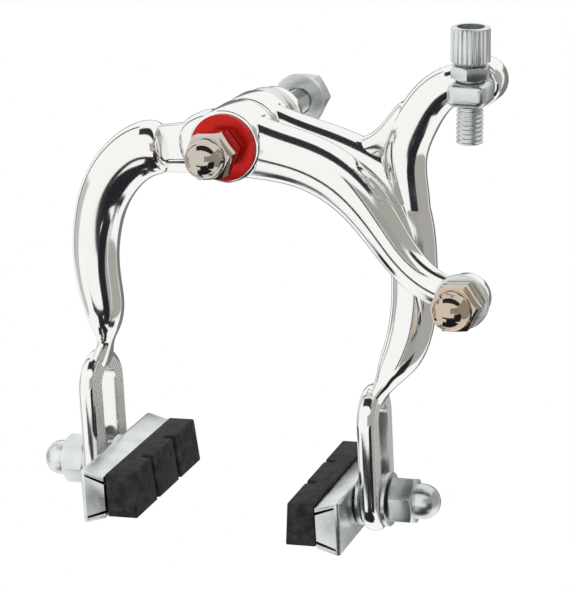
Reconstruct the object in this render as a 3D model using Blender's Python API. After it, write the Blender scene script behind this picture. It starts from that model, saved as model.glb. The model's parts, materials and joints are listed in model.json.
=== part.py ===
# Side-pull rim brake caliper.
# Metres. X runs across the wheel, Y runs back along the pivot bolt, Z is up.
# The pivot axis is the line X = 0, Z = 0.
import math

import bmesh
import bpy
from mathutils import Matrix, Vector

MM = 0.001
GAP = 0.3 * MM

# thread and nuts
THREAD_R = 3.0 * MM
BORE_R = THREAD_R + GAP
CAP_NUT_FLATS = 10.0 * MM
CAP_NUT_HEX = 5.8 * MM
CAP_NUT_HEIGHT = 11.3 * MM
CAP_NUT_DOME_R = 4.5 * MM
PAD_NUT_DOME_R = 4.1 * MM
CAP_NUT_DEPTH = 8.0 * MM
JAM_NUT_FLATS = 8.2 * MM
JAM_NUT_HEIGHT = 3.2 * MM
FORK_NUT_HEIGHT = 6.0 * MM

# parts threaded on the pivot bolt, from front to back
FACE_WASHER_FRONT = -4.4 * MM
FACE_WASHER_R = 7.7 * MM
FACE_WASHER_T = 1.0 * MM
FRONT_BOSS_R = 8.5 * MM
FRONT_BOSS_T = 12.0 * MM
SPACER_R = 7.0 * MM
SPACER_T = 0.8 * MM
REAR_BOSS_R = 8.4 * MM
REAR_BOSS_T = 9.6 * MM
BLOCK_R = 7.8 * MM
BLOCK_T = 5.6 * MM
SEAT_R = 7.0 * MM
SEAT_T = 4.0 * MM
FORK_THICKNESS = 15.3 * MM
FORK_WASHER_R = 6.4 * MM
FORK_WASHER_T = 1.2 * MM
BOLT_TAIL = 1.8 * MM

# feet of the arms and the pad studs
FOOT_Y = 2.0 * MM
FOOT_W = 17.5 * MM
FOOT_T = 4.2 * MM
FOOT_EDGE = 1.3 * MM
FOOT_DOWN = 7.3 * MM
FOOT_UP = 27.3 * MM
SLOT_W = 7.2 * MM
SLOT_DOWN = 4.0 * MM
SLOT_UP = 23.0 * MM
LEFT_STUD = Vector((-32.9 * MM, FOOT_Y, -80.2 * MM))
RIGHT_STUD = Vector((35.0 * MM, FOOT_Y, -81.6 * MM))
LEFT_LEAN = math.radians(3.0)
RIGHT_LEAN = math.radians(2.5)
LEFT_TWIST = math.radians(3.0)
RIGHT_TWIST = math.radians(-3.0)
PAD_WASHER_R = 6.3 * MM
PAD_WASHER_T = 0.9 * MM
DISH_WASHER_T = 1.2 * MM

# pad holder and rubber block
PAD_LENGTH = 41.4 * MM
PAD_OFFSET = 5.0 * MM
HOLDER_BACK_H = 13.2 * MM
HOLDER_MOUTH_H = 9.8 * MM
HOLDER_DEPTH = 5.8 * MM
HOLDER_WALL = 1.1 * MM
RUBBER_H = 10.4 * MM
RUBBER_PROUD_TOP = 6.7 * MM
RUBBER_PROUD_FOOT = 7.7 * MM
RUBBER_RISE = 0.4 * MM
GROOVE_W = 1.4 * MM
GROOVE_DEPTH = 3.0 * MM
LEFT_PITCH = math.radians(1.0)
RIGHT_PITCH = math.radians(2.5)
LEFT_YAW = math.radians(-1.0)
RIGHT_YAW = math.radians(-1.2)
LEFT_SHOE_RISE = 0.4 * MM
RIGHT_SHOE_RISE = -1.9 * MM

# cable anchor on the front arm
ANCHOR_X = 56.2 * MM
ANCHOR_Z = -31.0 * MM
ANCHOR_BOSS_R = 5.4 * MM
ANCHOR_BOSS_FRONT = -1.6 * MM
ANCHOR_BOSS_T = 4.6 * MM
ANCHOR_WASHER_R = 6.3 * MM
ANCHOR_WASHER_T = 1.4 * MM
ANCHOR_HEAD_R = 3.9 * MM
ANCHOR_HEAD_T = 2.2 * MM

# adjuster stop, lock nut and barrel on the rear arm
STOP_X = 55.3 * MM
STOP_Y = 5.0 * MM
STOP_Z = 14.8 * MM
STOP_W = 9.0 * MM
STOP_H = 5.6 * MM
STOP_FRONT = 4.3 * MM
STOP_BACK = 4.7 * MM
SPIGOT_R = 2.4 * MM
EYE_R = 5.3 * MM
EYE_T = 8.0 * MM
EYE_RISE = 0.9 * MM
RETAINER_R = 4.2 * MM
RETAINER_T = 1.0 * MM
RETAINER_NUT_FLATS = 6.6 * MM
RETAINER_NUT_T = 2.4 * MM
LOCK_NUT_FLATS = 8.0 * MM
LOCK_NUT_T = 3.1 * MM
LOCK_NUT_LIFT = 0.55 * MM
BARREL_R = 4.4 * MM
BARREL_H = 8.25 * MM
BARREL_FLUTES = 20
BARREL_SOCKET_R = 3.1 * MM
BARREL_SOCKET_DEPTH = 6.2 * MM
BARREL_THREAD_BELOW = 8.6 * MM
CABLE_HOLE_R = 1.1 * MM

SPRING_WIRE_R = 0.9 * MM

# faces of the stack on the pivot bolt
FRONT_BOSS_FRONT = FACE_WASHER_FRONT + FACE_WASHER_T + GAP
SPACER_FRONT = FRONT_BOSS_FRONT + FRONT_BOSS_T + GAP
REAR_BOSS_FRONT = SPACER_FRONT + SPACER_T + GAP
BLOCK_FRONT = REAR_BOSS_FRONT + REAR_BOSS_T + GAP
SEAT_FRONT = BLOCK_FRONT + BLOCK_T + GAP
FORK_WASHER_FRONT = SEAT_FRONT + SEAT_T + FORK_THICKNESS
FORK_NUT_FRONT = FORK_WASHER_FRONT + FORK_WASHER_T + GAP
JAM_NUT_BACK = FACE_WASHER_FRONT - GAP
PIVOT_CAP_BACK = JAM_NUT_BACK - JAM_NUT_HEIGHT - GAP
FRONT_ARM_Y = FRONT_BOSS_FRONT + FRONT_BOSS_T / 2
REAR_ARM_Y = REAR_BOSS_FRONT + REAR_BOSS_T / 2

STEEL = ((0.62, 0.64, 0.62), 0.30, 1.0)
ZINC = ((0.60, 0.64, 0.60), 0.34, 1.0)
NICKEL = ((0.42, 0.38, 0.34), 0.15, 1.0)
POLISHED = ((0.86, 0.86, 0.85), 0.10, 1.0)
RED = ((0.55, 0.02, 0.02), 0.30, 0.6)
BRASS = ((0.72, 0.53, 0.24), 0.30, 1.0)
RUBBER = ((0.025, 0.025, 0.028), 0.75, 0.0)


def clear_scene():
    for old in list(bpy.data.objects):
        bpy.data.objects.remove(old, do_unlink=True)


def make_object(name, bm, look=None, at=(0.0, 0.0, 0.0)):
    """Turn a bmesh, drawn around its own origin, into an object placed at a point."""
    bmesh.ops.recalc_face_normals(bm, faces=bm.faces)
    mesh = bpy.data.meshes.new(name)
    bm.to_mesh(mesh)
    bm.free()
    obj = bpy.data.objects.new(name, mesh)
    bpy.context.collection.objects.link(obj)
    obj.location = at
    if look:
        colour, rough, metal = look
        mat = bpy.data.materials.new(name + "_material")
        mat.use_nodes = True
        shader = mat.node_tree.nodes["Principled BSDF"]
        shader.inputs["Base Color"].default_value = (*colour, 1.0)
        shader.inputs["Roughness"].default_value = rough
        shader.inputs["Metallic"].default_value = metal
        mesh.materials.append(mat)
    bpy.context.view_layer.update()
    return obj


def combine(obj, other, operation):
    """Join or cut obj with another object, which is used up."""
    tool = obj.modifiers.new("combine", "BOOLEAN")
    tool.operation = operation
    tool.solver = "EXACT"
    tool.object = other
    bpy.context.view_layer.update()
    graph = bpy.context.evaluated_depsgraph_get()
    mesh = bpy.data.meshes.new_from_object(obj.evaluated_get(graph))
    obj.modifiers.clear()
    obj.data = mesh
    bpy.data.objects.remove(other, do_unlink=True)


def fuse(obj, other):
    combine(obj, other, "UNION")


def cut(obj, other):
    combine(obj, other, "DIFFERENCE")


def keep_common(obj, other):
    combine(obj, other, "INTERSECT")


def smooth(obj, degrees=35):
    obj.data.shade_smooth()
    obj.data.set_sharp_from_angle(angle=math.radians(degrees))


def skin(rings):
    """Closed solid through a list of rings with the same number of points each."""
    bm = bmesh.new()
    rows = []
    for ring in rings:
        rows.append([bm.verts.new(point) for point in ring])
    for low, high in zip(rows, rows[1:]):
        count = len(low)
        for i in range(count):
            j = (i + 1) % count
            bm.faces.new((low[i], low[j], high[j], high[i]))
    bm.faces.new(rows[0])
    bm.faces.new(rows[-1])
    return bm


def turned(profile, facing, steps=24):
    """Solid of revolution; profile is (radius, height) along the axis, facing turns it."""
    rings = []
    for radius, height in profile:
        ring = []
        for i in range(steps):
            angle = 2 * math.pi * i / steps
            point = Vector((radius * math.cos(angle), radius * math.sin(angle), height))
            ring.append(facing @ point)
        rings.append(ring)
    return skin(rings)


def hexagon(flats, bottom, top, facing, turn=0.0):
    """Hexagonal prism between two heights."""
    corner = flats / math.sqrt(3)
    rings = []
    for height in (bottom, top):
        ring = []
        for i in range(6):
            angle = turn + math.pi * i / 3
            ring.append(facing @ Vector((corner * math.cos(angle), corner * math.sin(angle), height)))
        rings.append(ring)
    return skin(rings)


def round_box(width, height, radius, bottom, top, facing, steps=5):
    """Block with a rounded rectangular outline in its local XY plane."""
    rings = []
    for level in (bottom, top):
        ring = []
        for quarter in range(4):
            sx = 1 if quarter in (0, 3) else -1
            sy = 1 if quarter in (0, 1) else -1
            for i in range(steps + 1):
                angle = math.pi / 2 * (quarter + i / steps)
                x = sx * (width / 2 - radius) + radius * math.cos(angle)
                y = sy * (height / 2 - radius) + radius * math.sin(angle)
                ring.append(facing @ Vector((x, y, level)))
        rings.append(ring)
    return skin(rings)


ALONG_Y = Matrix.Rotation(-math.pi / 2, 4, "X")
ALONG_X = Matrix.Rotation(math.pi / 2, 4, "Y")
ALONG_Z = Matrix.Identity(4)
BACK_TO_FRONT = Matrix.Rotation(math.pi / 2, 4, "X")


def washer(name, radius, thickness, bore, facing, at, look, edge=0.15 * MM):
    profile = [(radius - edge, 0.0), (radius, edge)]
    profile += [(radius, thickness - edge), (radius - edge, thickness)]
    obj = make_object(name, turned(profile, facing), look, at)
    hole = turned([(bore, -thickness), (bore, 2 * thickness)], facing)
    cut(obj, make_object("hole", hole, None, at))
    smooth(obj)
    return obj


def chamfered_hex(name, flats, height, facing, at, look, turn=0.0):
    """Hexagon whose corners are turned down at both ends."""
    obj = make_object(name, hexagon(flats, 0.0, height, facing, turn), look, at)
    corner = flats / math.sqrt(3) + GAP
    rim = flats * 0.475
    drop = (corner - rim) * 0.55
    profile = [(rim, 0.0), (corner, drop), (corner, height - drop), (rim, height)]
    keep_common(obj, make_object("turning", turned(profile, facing, 30), None, at))
    return obj


def plain_nut(name, flats, height, bore, facing, at, look, turn=0.0):
    obj = chamfered_hex(name, flats, height, facing, at, look, turn)
    hole = turned([(bore, -height), (bore, 2 * height)], facing)
    cut(obj, make_object("hole", hole, None, at))
    smooth(obj)
    return obj


def cap_nut(name, facing, at, look, turn=0.0, dome=CAP_NUT_DOME_R):
    """Domed nut; its open face is at the point, the dome points along the facing axis."""
    obj = chamfered_hex(name, CAP_NUT_FLATS, CAP_NUT_HEX, facing, at, look, turn)
    centre = CAP_NUT_HEIGHT - dome
    profile = [(dome, CAP_NUT_HEX - 1.0 * MM), (dome, centre)]
    for i in range(1, 5):
        angle = math.pi / 2 * i / 5
        profile.append((dome * math.cos(angle), centre + dome * math.sin(angle)))
    profile.append((0.25 * MM, CAP_NUT_HEIGHT))
    fuse(obj, make_object("dome", turned(profile, facing), None, at))
    hole = turned([(BORE_R, -1.0 * MM), (BORE_R, CAP_NUT_DEPTH)], facing)
    cut(obj, make_object("hole", hole, None, at))
    smooth(obj)
    return obj


def spline(points, steps):
    """Smooth run of values through a list of tuples, with steps between neighbours."""
    run = []
    last = len(points) - 1
    for k in range(last):
        before = points[max(k - 1, 0)]
        start = points[k]
        end = points[k + 1]
        after = points[min(k + 2, last)]
        for i in range(steps):
            t = i / steps
            values = []
            for p0, p1, p2, p3 in zip(before, start, end, after):
                value = 2 * p1 + (p2 - p0) * t
                value += (2 * p0 - 5 * p1 + 4 * p2 - p3) * t * t
                value += (3 * p1 - p0 - 3 * p2 + p3) * t * t * t
                values.append(value / 2)
            run.append(values)
    run.append(list(points[last]))
    return run


def forged_limb(stations, steps=2, around=18, fullness=2.3):
    """Solid along a curved line. Each station is x, y, z, half width, half depth, in mm."""
    run = spline(stations, steps)
    rings = []
    for k, (x, y, z, half_width, half_depth) in enumerate(run):
        ahead = run[min(k + 1, len(run) - 1)]
        behind = run[max(k - 1, 0)]
        along = Vector((ahead[0] - behind[0], ahead[1] - behind[1], ahead[2] - behind[2])).normalized()
        depth_way = Vector((0.0, 1.0, 0.0))
        depth_way = (depth_way - along * depth_way.dot(along)).normalized()
        width_way = along.cross(depth_way)
        ring = []
        for i in range(around):
            angle = 2 * math.pi * i / around
            c = math.cos(angle)
            s = math.sin(angle)
            u = math.copysign(abs(c) ** (2 / fullness), c) * half_width
            v = math.copysign(abs(s) ** (2 / fullness), s) * half_depth
            ring.append((Vector((x, y, z)) + width_way * u + depth_way * v) * MM)
        rings.append(ring)
    return skin(rings)


def boss(radius, front, thickness, x=0.0, z=0.0, edge=1.2 * MM):
    """Round boss about an axis along Y, with rounded rims."""
    profile = []
    for i in range(5):
        angle = math.pi / 2 * i / 4
        profile.append((radius - edge + edge * math.sin(angle), edge - edge * math.cos(angle)))
    for i in range(5):
        angle = math.pi / 2 * i / 4
        profile.append((radius - edge + edge * math.cos(angle), thickness - edge + edge * math.sin(angle)))
    return make_object("boss", turned(profile, ALONG_Y, 28), None, (x, front, z))


def bore_y(radius, front, back, x=0.0, z=0.0):
    return make_object("bore", turned([(radius, front), (radius, back)], ALONG_Y), None, (x, 0.0, z))


def stadium(half_width, down, up, steps=8):
    """Outline with two round ends; the first value is across, the second is up."""
    outline = []
    for i in range(steps + 1):
        angle = math.pi * i / steps
        outline.append((half_width * math.cos(angle), up - half_width + half_width * math.sin(angle)))
    for i in range(steps + 1):
        angle = math.pi + math.pi * i / steps
        outline.append((half_width * math.cos(angle), half_width - down + half_width * math.sin(angle)))
    return outline


def foot_frame(stud, lean, twist):
    """Place of a foot: its local X is the foot's thickness and Z runs up the slot."""
    turn = Matrix.Rotation(-lean, 4, "Y") @ Matrix.Rotation(-twist, 4, "Z")
    return Matrix.Translation(stud) @ turn


def foot_plate(frame):
    """Flat slotted foot with rounded edges, without its slot."""
    rings = []
    layers = []
    for i in range(4):
        angle = math.pi / 2 * i / 3
        layers.append((FOOT_EDGE * (1 - math.sin(angle)), -FOOT_T / 2 + FOOT_EDGE * (1 - math.cos(angle))))
    layers += [(inset, -x) for inset, x in reversed(layers)]
    for inset, x in layers:
        outline = stadium(FOOT_W / 2 - inset, FOOT_DOWN - inset, FOOT_UP - inset)
        rings.append([frame @ Vector((x, y, z)) for y, z in outline])
    return make_object("foot", skin(rings))


def foot_slot(frame):
    outline = stadium(SLOT_W / 2, SLOT_DOWN, SLOT_UP)
    rings = []
    for x in (-FOOT_T * 2, FOOT_T * 2):
        rings.append([frame @ Vector((x, y, z)) for y, z in outline])
    return make_object("slot", skin(rings))


def trim_foot(obj, frame):
    """Pare the neck back to the flat of the foot where the washers sit."""
    reach = FOOT_W
    for side in (1, -1):
        inner = side * FOOT_T / 2
        outer = side * FOOT_T * 3
        rings = []
        for x in (inner, outer):
            corners = ((-reach, -reach), (reach, -reach), (reach, SLOT_UP), (-reach, SLOT_UP))
            rings.append([frame @ Vector((x, y, z)) for y, z in corners])
        cut(obj, make_object("paring", skin(rings)))


def front_arm():
    """C-shaped arm: left foot, shoulder, pivot boss and the long limb to the cable anchor."""
    y = FRONT_ARM_Y / MM
    foot_top = LEFT_STUD / MM
    end_y = (ANCHOR_BOSS_FRONT + ANCHOR_BOSS_T / 2) / MM
    left = [
        (foot_top.x - 1.1, foot_top.y + 0.2, foot_top.z + 24.0, 1.9, 5.4),
        (foot_top.x + 0.2, foot_top.y + 0.5, foot_top.z + 28.4, 1.6, 3.2),
        (foot_top.x + 0.4, foot_top.y + 0.8, foot_top.z + 32.0, 2.9, 4.2),
        (-32.6, y, -45.2, 3.9, 5.3),
        (-33.1, y, -41.3, 4.7, 5.9),
        (-34.3, y, -35.3, 5.1, 6.0),
        (-34.7, y, -27.5, 5.4, 6.0),
        (-33.0, y, -17.3, 6.0, 6.0),
        (-28.9, y, -9.6, 6.4, 6.0),
        (-24.0, y, -4.8, 6.6, 6.0),
        (-20.6, y, -2.7, 6.6, 5.7),
        (-18.6, y + 1.3, -2.0, 6.6, 4.3),
        (-14.5, y + 1.7, -1.9, 6.5, 3.9),
        (-11.0, y + 1.0, -1.6, 6.8, 4.8),
        (-7.0, y, -0.9, 7.6, 5.8),
        (0.0, y, -0.3, 8.4, 5.8),
    ]
    right = [
        (0.0, y, -0.3, 8.3, 5.8),
        (6.0, y, -1.2, 7.2, 5.9),
        (14.4, y, -2.5, 6.4, 5.9),
        (22.0, y, -5.0, 6.4, 5.8),
        (28.0, y, -8.8, 6.0, 5.6),
        (33.6, y, -14.7, 5.2, 5.3),
        (38.8, y, -21.5, 4.6, 4.8),
        (45.2, (y + end_y) / 2, -27.5, 4.2, 3.5),
        (ANCHOR_X / MM - 4.0, end_y, ANCHOR_Z / MM + 0.5, 4.0, 2.2),
    ]
    frame = foot_frame(LEFT_STUD, LEFT_LEAN, LEFT_TWIST)
    obj = make_object("front_arm", forged_limb(left), POLISHED)
    fuse(obj, make_object("limb", forged_limb(right)))
    fuse(obj, boss(FRONT_BOSS_R, FRONT_BOSS_FRONT, FRONT_BOSS_T))
    fuse(obj, boss(ANCHOR_BOSS_R, ANCHOR_BOSS_FRONT, ANCHOR_BOSS_T, ANCHOR_X, ANCHOR_Z))
    fuse(obj, foot_plate(frame))
    trim_foot(obj, frame)
    cut(obj, foot_slot(frame))
    cut(obj, bore_y(BORE_R, FRONT_BOSS_FRONT - GAP, SPACER_FRONT))
    anchor_back = ANCHOR_BOSS_FRONT + ANCHOR_BOSS_T
    cut(obj, bore_y(BORE_R, ANCHOR_BOSS_FRONT - GAP, anchor_back + GAP, ANCHOR_X, ANCHOR_Z))
    smooth(obj)
    return obj


def rear_arm():
    """Y-shaped arm: pivot boss, limb down to the right foot, branch up to the adjuster eye."""
    y = REAR_ARM_Y / MM
    foot_top = RIGHT_STUD / MM
    eye_y = (STOP_Y + STOP_BACK + GAP + EYE_T / 2) / MM
    main = [
        (0.0, y, 0.0, 8.2, 4.6),
        (8.0, y, -1.6, 6.8, 4.8),
        (17.0, y, -3.4, 6.3, 5.2),
        (25.5, y - 0.3, -5.9, 6.3, 5.5),
        (32.5, y - 0.4, -9.2, 6.3, 5.7),
        (36.8, y - 0.4, -14.6, 6.0, 5.7),
        (38.7, y - 0.4, -21.5, 5.5, 5.7),
        (39.6, y - 0.8, -29.0, 5.3, 5.7),
        (40.4, y - 2.8, -36.5, 5.3, 5.7),
        (40.3, y - 6.0, -43.2, 5.2, 5.8),
        (foot_top.x + 4.1, foot_top.y + 4.0, foot_top.z + 33.2, 4.8, 5.6),
        (foot_top.x + 2.0, foot_top.y + 1.6, foot_top.z + 28.6, 2.8, 4.4),
        (foot_top.x - 0.6, foot_top.y + 0.2, foot_top.z + 24.0, 1.9, 5.4),
    ]
    branch = [
        (29.5, y - 0.4, -8.6, 5.2, 5.2),
        (34.0, y - 0.4, -2.4, 5.4, 5.4),
        (38.8, y - 0.2, 5.0, 5.0, 5.2),
        (44.0, (y + eye_y) / 2, 12.0, 4.7, 4.9),
        (STOP_X / MM - 3.5, eye_y, STOP_Z / MM + 0.3, 4.4, 4.1),
    ]
    frame = foot_frame(RIGHT_STUD, RIGHT_LEAN, RIGHT_TWIST)
    eye_front = STOP_Y + STOP_BACK + GAP
    obj = make_object("rear_arm", forged_limb(main), POLISHED)
    fuse(obj, make_object("branch", forged_limb(branch)))
    fuse(obj, boss(REAR_BOSS_R, REAR_BOSS_FRONT, REAR_BOSS_T))
    fuse(obj, boss(EYE_R, eye_front, EYE_T, STOP_X, STOP_Z + EYE_RISE))
    fuse(obj, foot_plate(frame))
    trim_foot(obj, frame)
    cut(obj, foot_slot(frame))
    cut(obj, bore_y(BORE_R, SPACER_FRONT, BLOCK_FRONT + GAP))
    cut(obj, bore_y(SPIGOT_R + GAP, eye_front - GAP, eye_front + EYE_T + GAP, STOP_X, STOP_Z))
    smooth(obj)
    return obj


def pivot_hardware():
    """Pivot bolt with the nuts and washers that sit on it."""
    start = PIVOT_CAP_BACK - CAP_NUT_DEPTH + 2 * GAP
    end = FORK_NUT_FRONT + FORK_NUT_HEIGHT + BOLT_TAIL
    edge = 0.5 * MM
    profile = [(THREAD_R - edge, start), (THREAD_R, start + edge)]
    profile += [(THREAD_R, end - edge), (THREAD_R - edge, end)]
    bolt = make_object("pivot_bolt", turned(profile, ALONG_Y), ZINC)
    smooth(bolt)
    cap_nut("pivot_cap_nut", BACK_TO_FRONT, (0.0, PIVOT_CAP_BACK, 0.0), NICKEL, math.radians(8))
    plain_nut("pivot_jam_nut", JAM_NUT_FLATS, JAM_NUT_HEIGHT, BORE_R, BACK_TO_FRONT,
              (0.0, JAM_NUT_BACK, 0.0), STEEL, math.radians(8))
    washer("face_washer", FACE_WASHER_R, FACE_WASHER_T, BORE_R, ALONG_Y, (0.0, FACE_WASHER_FRONT, 0.0), RED)
    washer("arm_spacer", SPACER_R, SPACER_T, BORE_R, ALONG_Y, (0.0, SPACER_FRONT, 0.0), BRASS)
    washer("fork_seat_washer", SEAT_R, SEAT_T, BORE_R, ALONG_Y,
           (0.0, SEAT_FRONT, 0.0), POLISHED, 0.5 * MM)
    washer("fork_washer", FORK_WASHER_R, FORK_WASHER_T, BORE_R, ALONG_Y,
           (0.0, FORK_WASHER_FRONT, 0.0), ZINC)
    plain_nut("fork_nut", CAP_NUT_FLATS, FORK_NUT_HEIGHT, BORE_R, ALONG_Y, (0.0, FORK_NUT_FRONT, 0.0), ZINC)


def spring_wire_path():
    """Centre line of the return spring, in metres, from one leg tip to the other."""
    turn_y = BLOCK_FRONT + BLOCK_T / 2
    clear_front = SPACER_FRONT + SPRING_WIRE_R + GAP
    clear_back = BLOCK_FRONT + SPRING_WIRE_R + GAP
    return [
        Vector((-25.5 * MM, clear_front, -8.0 * MM)),
        Vector((-21.5 * MM, clear_front + 0.5 * MM, -5.0 * MM)),
        Vector((-16.5 * MM, clear_back - 2.0 * MM, -2.8 * MM)),
        Vector((-11.0 * MM, turn_y, -1.5 * MM)),
        Vector((-7.5 * MM, turn_y, 2.0 * MM)),
        Vector((-4.5 * MM, turn_y, 5.6 * MM)),
        Vector((0.0, turn_y, 6.6 * MM)),
        Vector((4.5 * MM, turn_y, 5.6 * MM)),
        Vector((8.5 * MM, turn_y, 1.8 * MM)),
        Vector((14.0 * MM, clear_back, -3.2 * MM)),
        Vector((22.0 * MM, clear_back, -7.0 * MM)),
        Vector((29.0 * MM, clear_back, -10.0 * MM)),
    ]


def wire_solid(path, radius, steps=3, around=8):
    run = [Vector(p) for p in spline([tuple(p) for p in path], steps)]
    rings = []
    side = Vector((0.0, 1.0, 0.0))
    for k, centre in enumerate(run):
        ahead = run[min(k + 1, len(run) - 1)]
        behind = run[max(k - 1, 0)]
        along = (ahead - behind).normalized()
        side = (side - along * side.dot(along)).normalized()
        other = along.cross(side)
        ring = []
        for i in range(around):
            angle = 2 * math.pi * i / around
            ring.append(centre + (side * math.cos(angle) + other * math.sin(angle)) * radius)
        rings.append(ring)
    return skin(rings)


def return_spring():
    spring = make_object("return_spring", wire_solid(spring_wire_path(), SPRING_WIRE_R), STEEL)
    smooth(spring, 60)


def spring_block():
    """Round block behind the arms; the return spring passes through it."""
    edge = 0.6 * MM
    profile = [(BLOCK_R - edge, 0.0), (BLOCK_R, edge), (BLOCK_R, BLOCK_T - edge), (BLOCK_R - edge, BLOCK_T)]
    obj = make_object("spring_block", turned(profile, ALONG_Y, 28), STEEL, (0.0, BLOCK_FRONT, 0.0))
    hole = turned([(BORE_R, -BLOCK_T), (BORE_R, 2 * BLOCK_T)], ALONG_Y)
    cut(obj, make_object("hole", hole, None, (0.0, BLOCK_FRONT, 0.0)))
    cut(obj, make_object("channel", wire_solid(spring_wire_path(), SPRING_WIRE_R + GAP)))
    smooth(obj)


def cable_anchor():
    """Bolt, washer and domed nut that clamp the cable on the front arm."""
    boss_back = ANCHOR_BOSS_FRONT + ANCHOR_BOSS_T
    washer_front = ANCHOR_BOSS_FRONT - GAP - ANCHOR_WASHER_T
    nut_back = washer_front - GAP
    tip = nut_back - CAP_NUT_DEPTH + 2 * GAP
    head = boss_back + GAP
    profile = [(THREAD_R - 0.4 * MM, tip), (THREAD_R, tip + 0.4 * MM), (THREAD_R, head)]
    profile += [(ANCHOR_HEAD_R, head), (ANCHOR_HEAD_R, head + ANCHOR_HEAD_T - 0.4 * MM)]
    profile += [(ANCHOR_HEAD_R - 0.4 * MM, head + ANCHOR_HEAD_T)]
    bolt = make_object("anchor_bolt", turned(profile, ALONG_Y), ZINC, (ANCHOR_X, 0.0, ANCHOR_Z))
    smooth(bolt)
    washer("anchor_washer", ANCHOR_WASHER_R, ANCHOR_WASHER_T, BORE_R, ALONG_Y,
           (ANCHOR_X, washer_front, ANCHOR_Z), ZINC)
    cap_nut("anchor_cap_nut", BACK_TO_FRONT, (ANCHOR_X, nut_back, ANCHOR_Z), NICKEL, math.radians(5))


def adjuster():
    """Swivelling stop on the rear arm, with its lock nut, barrel and retainer."""
    at = (STOP_X, STOP_Y, STOP_Z)
    stop = make_object("adjuster_stop",
                       round_box(STOP_W, STOP_H, 1.6 * MM, -STOP_FRONT, STOP_BACK, ALONG_Y), ZINC, at)
    retainer_front = STOP_BACK + GAP + EYE_T + GAP
    retainer_nut_front = retainer_front + RETAINER_T + GAP
    end = retainer_nut_front + RETAINER_NUT_T + 0.8 * MM
    fuse(stop, make_object("spigot", turned([(SPIGOT_R, 0.0), (SPIGOT_R, end)], ALONG_Y), None, at))
    cut(stop, make_object("tapping", turned([(BORE_R, -STOP_H), (BORE_R, STOP_H)], ALONG_Z), None, at))
    smooth(stop)
    washer("stop_retainer_washer", RETAINER_R, RETAINER_T, SPIGOT_R + GAP, ALONG_Y,
           (STOP_X, STOP_Y + retainer_front, STOP_Z), ZINC)
    plain_nut("stop_retainer_nut", RETAINER_NUT_FLATS, RETAINER_NUT_T, SPIGOT_R + GAP, ALONG_Y,
              (STOP_X, STOP_Y + retainer_nut_front, STOP_Z), ZINC)

    nut_bottom = STOP_H / 2 + LOCK_NUT_LIFT
    plain_nut("barrel_lock_nut", LOCK_NUT_FLATS, LOCK_NUT_T, BORE_R, ALONG_Z,
              (STOP_X, STOP_Y, STOP_Z + nut_bottom), ZINC, math.radians(37))

    barrel_bottom = nut_bottom + LOCK_NUT_T + GAP
    top = barrel_bottom + BARREL_H
    rings = []
    around = BARREL_FLUTES * 4
    for height, inset in ((barrel_bottom, 0.5), (barrel_bottom + 0.5 * MM, 0.0),
                          (top - 0.6 * MM, 0.0), (top, 0.6)):
        ring = []
        for i in range(around):
            angle = 2 * math.pi * i / around
            wave = 0.13 * MM * (1 + math.cos(2 * math.pi * i / 4))
            radius = BARREL_R - inset * MM - wave * (1 if inset == 0 else 0)
            ring.append(Vector((radius * math.cos(angle), radius * math.sin(angle), height)))
        rings.append(ring)
    barrel = make_object("barrel_adjuster", skin(rings), ZINC, at)
    foot = -STOP_H / 2 - BARREL_THREAD_BELOW
    thread = [(THREAD_R - 0.5 * MM, foot), (THREAD_R, foot + 0.5 * MM), (THREAD_R, barrel_bottom + 1.0 * MM)]
    fuse(barrel, make_object("thread", turned(thread, ALONG_Z), None, at))
    socket = [(BARREL_SOCKET_R, top - BARREL_SOCKET_DEPTH), (BARREL_SOCKET_R, top + 1.0 * MM)]
    cut(barrel, make_object("socket", turned(socket, ALONG_Z), None, at))
    hole = [(CABLE_HOLE_R, foot - 1.0 * MM), (CABLE_HOLE_R, top)]
    cut(barrel, make_object("cable_hole", turned(hole, ALONG_Z, 16), None, at))
    smooth(barrel)


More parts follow.
